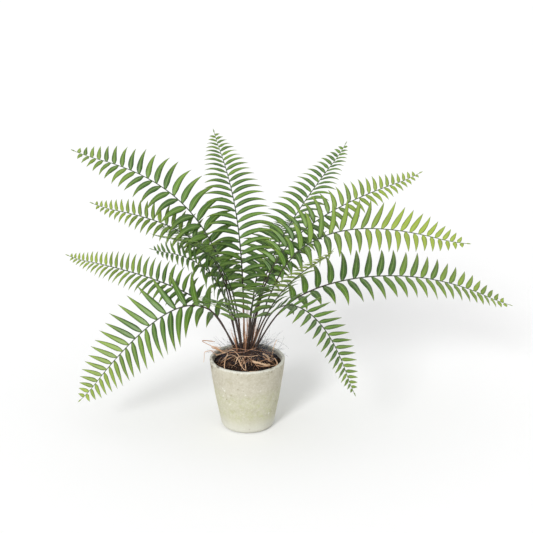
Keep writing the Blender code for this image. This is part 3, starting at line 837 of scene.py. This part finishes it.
# thinner dead stalks that stand among them: azimuth, seat, rise, length
dryStalks = [
    (285, 0.45, 83, 0.078), (322, 0.55, 77, 0.064), (250, 0.30, 86, 0.098), (350, 0.40, 80, 0.052),
    (205, 0.62, 72, 0.042), (120, 0.50, 80, 0.060), (60, 0.60, 76, 0.055), (270, 0.66, 74, 0.046),
]
drySizes = {"width": 0.0024, "lean": 0.02, "leanTurn": 70, "strands": 3, "sink": 0.0008}


def strawPaint(name, pale, deep, roughness):
    paint = Paint(name)
    spot = paint.place()
    around = paint.value("around")
    along = paint.value("along")
    tone = paint.value("tone")
    fibres = paint.add("ShaderNodeCombineXYZ", None, {0: around * 9.0, 1: along * 1.3, 2: tone * 20.0})
    fibres = paint.noise(fibres, 2.2, 3.0, 0.6)
    stains = paint.noise(spot, 130.0, 4.0, 0.6)
    color = paint.mix(paint.between(fibres * 0.6 + tone * 0.4, 0.30, 0.70), deep, pale)
    color = paint.mix(paint.between(stains, 0.52, 0.74) * 0.6, color, (0.16, 0.075, 0.035))
    return paint.finish(color, roughness + stains * 0.2, fibres, 0.0006, 0.8)


def addDryStipe(shape, rng, azimuth, seat, rise, length, width):
    angle = math.radians(rise)
    along = heading(azimuth) * math.cos(angle) + Vector((0, 0, math.sin(angle)))
    radius = seat * crownSizes["radius"]
    foot = Vector((crownSizes["x"], crownSizes["y"], 0)) + heading(azimuth) * radius
    foot.z = crownHeight(radius) - drySizes["sink"]
    lean = heading(azimuth + drySizes["leanTurn"]) * drySizes["lean"] * length
    for strand in range(drySizes["strands"]):
        aside = heading(120 * strand + 40) * width * 0.17
        reach = length * (1 - 0.16 * strand)
        middle = foot + along * reach / 2 + lean + aside * 1.5
        route = smoothRoute([foot + aside, middle, foot + along * reach + aside * 2.4], 9)
        thick = width * (0.36 - 0.05 * strand)
        tube = closedTube(route, lambda t: thick * (1 - 0.55 * t), 7, 0.75, 0.5, rng.random())
        shape.addTube(tube, rng.random())


def makeDryStipes(material):
    for number, (name, *sizes) in enumerate(dryStipes):
        shape = Shape()
        addDryStipe(shape, random.Random(300 + number), *sizes, drySizes["width"])
        shape.build("dryStipe_" + name, [material], "dry_stipe", "dry_stipe_" + name)
    rng = random.Random(320)
    shape = Shape()
    for sizes in dryStalks:
        addDryStipe(shape, rng, *sizes, drySizes["width"] * rng.uniform(0.5, 0.85))
    shape.build("dryStalks", [material], "dry_stipe")


# straw and bark on the soil, in millimetres: thickness, then (x, y, height above what lies below)
strawRoutes = {
    "bundle": (3.4, ((-27, 13, 1.5), (-40, 20, 2.2), (-52, 26, 2.5), (-62, 30, 4))),
    "hook": (1.6, ((-46, 33, 3), (-62, 34, 5), (-79, 35, 14), (-70, 39, 13), (-58, 42, 10))),
    "hanging": (1.4, ((-55, 18, 2.5), (-65, 16, 4), (-74, 14, 2), (-75, 14, -8), (-76, 13, -16))),
    "front": (2.2, ((-33, 4, 1), (-37, -12, 1), (-38, -28, 1), (-36, -42, 1.5))),
    "cross": (1.4, ((-20, -13, 2), (-30, -20, 4), (-44, -22, 5))),
    "loop": (1.2, ((-14, -26, 1.5), (-8, -41, 1.5), (-2, -47, 2), (-3, -38, 3.5), (-8, -25, 3))),
    "long": (1.4, ((-20, -33, 1), (-14, -24, 4), (2, -21, 3), (18, -19, 4))),
    "rim": (2.0, ((4, -50, 1), (24, -46, 1), (42, -34, 1), (51, -16, 1), (46, -6, 4))),
    "stalk": (1.5, ((42, 4, 1), (44, 8, 12), (47, 14, 24), (51, 20, 32))),
    "right": (1.8, ((21, 13, 1), (30, 14, 3), (42, 12, 4))),
}
barkRoutes = {
    "long": (5.2, ((9, -33, 1.5), (20, -34, 2.5), (32, -33, 2.5), (38, -28, 2))),
    "bent": (4.4, ((27, -8, 1.5), (35, -12, 2.5), (38, -20, 2))),
}
# loose strands that lie over the others, in front of the stems and round the chips
strandRoutes = [
    (1.7, ((-60, 22, 6), (-40, 8, 9), (-20, -8, 12), (2, -17, 13), (16, -16, 17))),
    (1.2, ((-30, -8, 6), (-16, -18, 9), (-2, -21, 12), (12, -19, 19))),
    (1.9, ((-54, 12, 6), (-38, 3, 6), (-25, -7, 8), (-15, -18, 4), (-9, -32, 2))),
    (1.4, ((-64, 18, 4), (-50, 12, 6), (-34, 5, 10), (-21, -3, 17))),
    (1.2, ((8, -17, 14), (22, -14, 10), (34, -6, 8), (47, 1, 13))),
    (2.3, ((27, -17, 3), (34, -22, 6), (43, -20, 4))),
    (1.5, ((22, -31, 4), (33, -25, 8), (45, -15, 5))),
    (1.1, ((38, -9, 4), (45, -14, 8), (40, -23, 9), (33, -16, 8))),
    (1.6, ((16, -37, 2), (28, -39, 5), (40, -31, 4), (49, -22, 3))),
    (1.0, ((-12, -38, 2), (-2, -30, 7), (10, -34, 4), (20, -42, 2))),
    (1.3, ((-44, -12, 2), (-30, -15, 6), (-18, -26, 5), (-10, -40, 2))),
    (1.2, ((-22, 8, 9), (-16, -4, 18), (-6, -12, 26), (2, -16, 38))),
]
litterSizes = {
    "onRim": 0.86, "gap": 0.0003,
    "shreds": 75, "shredFrom": (0.012, 0.050), "shredReach": 0.054, "shredLift": 0.0008,
    "climbWithin": 0.034, "steps": 6, "step": (0.002, 0.0055), "shake": 0.22, "overSoil": 0.0006,
    "shredThickness": (0.00018, 0.00045),
}


def litterRoute(thickness, points):
    route = []
    for x, y, lift in points:
        r = math.hypot(x, y) / 1000
        ground = potSizes["height"] if r > litterSizes["onRim"] * potSizes["rim"] else soilHeight(r)
        z = ground + litterSizes["gap"] + thickness / 2000 + lift / 1000
        route.append(Vector((x / 1000, y / 1000, z)))
    return route


def makeLitter(straw, bark):
    for number, (name, (thickness, points)) in enumerate(strawRoutes.items()):
        rng = random.Random(500 + number)
        shape = Shape()
        half = thickness / 2000
        route = smoothRoute(litterRoute(thickness, points), 8)
        strands = 7 if name == "bundle" else 2
        for strand in range(strands):
            aside = Vector((rng.uniform(-1, 1), rng.uniform(-1, 1), rng.uniform(-1, 1))) * half * 0.7
            cut = len(route) - (strand * rng.randint(0, 3))
            own = [p + aside * (0.3 + 1.4 * i / len(route)) for i, p in enumerate(route[:cut])]
            thick = half * (1.0 if strands == 2 and strand == 0 else 0.55)
            tube = closedTube(own, lambda t: thick * (1 - 0.35 * t), 8, 0.6, 0.45, rng.random() * 9)
            shape.addTube(tube, rng.random())
        shape.build("straw_piece_" + name, [straw], "straw", "straw_" + name)
    rng = random.Random(560)
    shape = Shape()
    for thickness, points in strandRoutes:
        route = smoothRoute(litterRoute(thickness, points), 8)
        half = thickness / 2000
        tube = closedTube(route, lambda t: half * (1 - 0.45 * t), 8, 0.55, 0.5, rng.random() * 9)
        shape.addTube(tube, rng.random())
    shape.build("strawStrands", [straw], "straw")
    for number, (name, (thickness, points)) in enumerate(barkRoutes.items()):
        route = smoothRoute(litterRoute(thickness, points), 10)
        half = thickness / 2000
        shape = Shape()
        tube = closedTube(route, lambda t: half * (0.75 + 0.4 * math.sin(math.pi * t)), 12, 0.55, 0.8,
                          number * 4 + 1.5)
        shape.addTube(tube, 0.6)
        shape.build("bark_piece_" + name, [bark], "bark", "bark_" + name)


def makeShreds(material):
    # thin bits of straw among the stems and over the soil
    rng = random.Random(77)
    shape = Shape()
    for index in range(litterSizes["shreds"]):
        r = rng.uniform(*litterSizes["shredFrom"])
        azimuth = rng.uniform(0, 360)
        spot = heading(azimuth) * r
        spot.z = soilTop(spot.x, spot.y) + litterSizes["shredLift"]
        upright = index % 3 == 0 and r < litterSizes["climbWithin"]
        climb = rng.uniform(0.5, 2.0) if upright else rng.uniform(0.0, 0.25)
        way = heading(rng.uniform(0, 360)) + Vector((0, 0, climb))
        route = [spot]
        for _ in range(litterSizes["steps"]):
            shake = Vector((rng.uniform(-1, 1), rng.uniform(-1, 1), rng.uniform(-1, 0.4)))
            way = way.normalized() + shake * litterSizes["shake"]
            spot = spot + way.normalized() * rng.uniform(*litterSizes["step"])
            if math.hypot(spot.x, spot.y) > litterSizes["shredReach"]:
                break
            spot.z = max(spot.z, soilTop(spot.x, spot.y) + litterSizes["overSoil"])
            route.append(spot.copy())
        if len(route) > 3:
            thick = rng.uniform(*litterSizes["shredThickness"])
            route = smoothRoute(route, 3)
            tube = closedTube(route, lambda t: thick * (1 - 0.5 * t), 5, 0.6, 0.4, rng.random() * 9)
            shape.addTube(tube, rng.random())
    shape.build("strawShreds", [material], "straw")


stageSizes = {
    "floor": 40.0, "floorColor": (0.88, 0.88, 0.88), "sky": 0.85, "key": 2.0, "keySpread": 15,
    "keyHeight": 30, "keySide": 24, "floorRoughness": 0.9,
    "lens": 85.0, "tilt": 70.5, "cameraPlace": (0.033, -1.989, 0.9948),
}


def makeStage():
    half = stageSizes["floor"] / 2
    mesh = bpy.data.meshes.new("floor")
    corners = [(-half, -half, 0), (half, -half, 0), (half, half, 0), (-half, half, 0)]
    mesh.from_pydata(corners, [], [(0, 1, 2, 3)])
    floor = bpy.data.objects.new("floor", mesh)
    bpy.context.scene.collection.objects.link(floor)
    paint = Paint("paleFloor")
    mesh.materials.append(paint.finish(stageSizes["floorColor"], stageSizes["floorRoughness"]))
    world = bpy.data.worlds.new("studio")
    bpy.context.scene.world = world
    world.use_nodes = True
    sky = world.node_tree.nodes["Background"]
    sky.inputs["Color"].default_value = (1, 1, 1, 1)
    sky.inputs["Strength"].default_value = stageSizes["sky"]
    lamp = bpy.data.lights.new("key", "SUN")
    lamp.angle = math.radians(stageSizes["keySpread"])
    lamp.energy = stageSizes["key"]
    key = bpy.data.objects.new("key", lamp)
    bpy.context.scene.collection.objects.link(key)
    fromAbove = math.radians(90 - stageSizes["keyHeight"])
    key.rotation_euler = (fromAbove, 0, math.radians(-stageSizes["keySide"]))
    camera = bpy.data.cameras.new("camera")
    camera.lens = stageSizes["lens"]
    eye = bpy.data.objects.new("camera", camera)
    bpy.context.scene.collection.objects.link(eye)
    eye.location = stageSizes["cameraPlace"]
    eye.rotation_euler = (math.radians(stageSizes["tilt"]), 0, 0)
    bpy.context.scene.camera = eye
    bpy.context.scene.view_settings.view_transform = "Standard"


makeStage()
print("stage made")
makePot(potPaint())
soil = soilPaint()
makeSoil(soil)
makeCrown(crownPaint())
print("pot, soil and crown made")
frondMaterials = [leafPaint(), stipePaint()]
counts = [makeFrond(plan, number, frondMaterials) for number, plan in enumerate(frondPlans)]
onFrame, notInIt = (sum(column) for column in zip(*counts))
print("fronds made:", onFrame, "leaflets on the frame's,", notInIt, "not in it")
straw = strawPaint("straw", (0.90, 0.62, 0.40), (0.58, 0.31, 0.17), 0.5)
dry = strawPaint("dryStipe", (0.62, 0.34, 0.19), (0.33, 0.14, 0.07), 0.6)
bark = strawPaint("barkChip", (0.82, 0.60, 0.40), (0.50, 0.28, 0.15), 0.7)
makeDryStipes(dry)
makeLitter(straw, bark)
makeShreds(straw)
makeSoilFibres(dry)
makeHairs(hairPaint())
print("straw, bark and roots made")
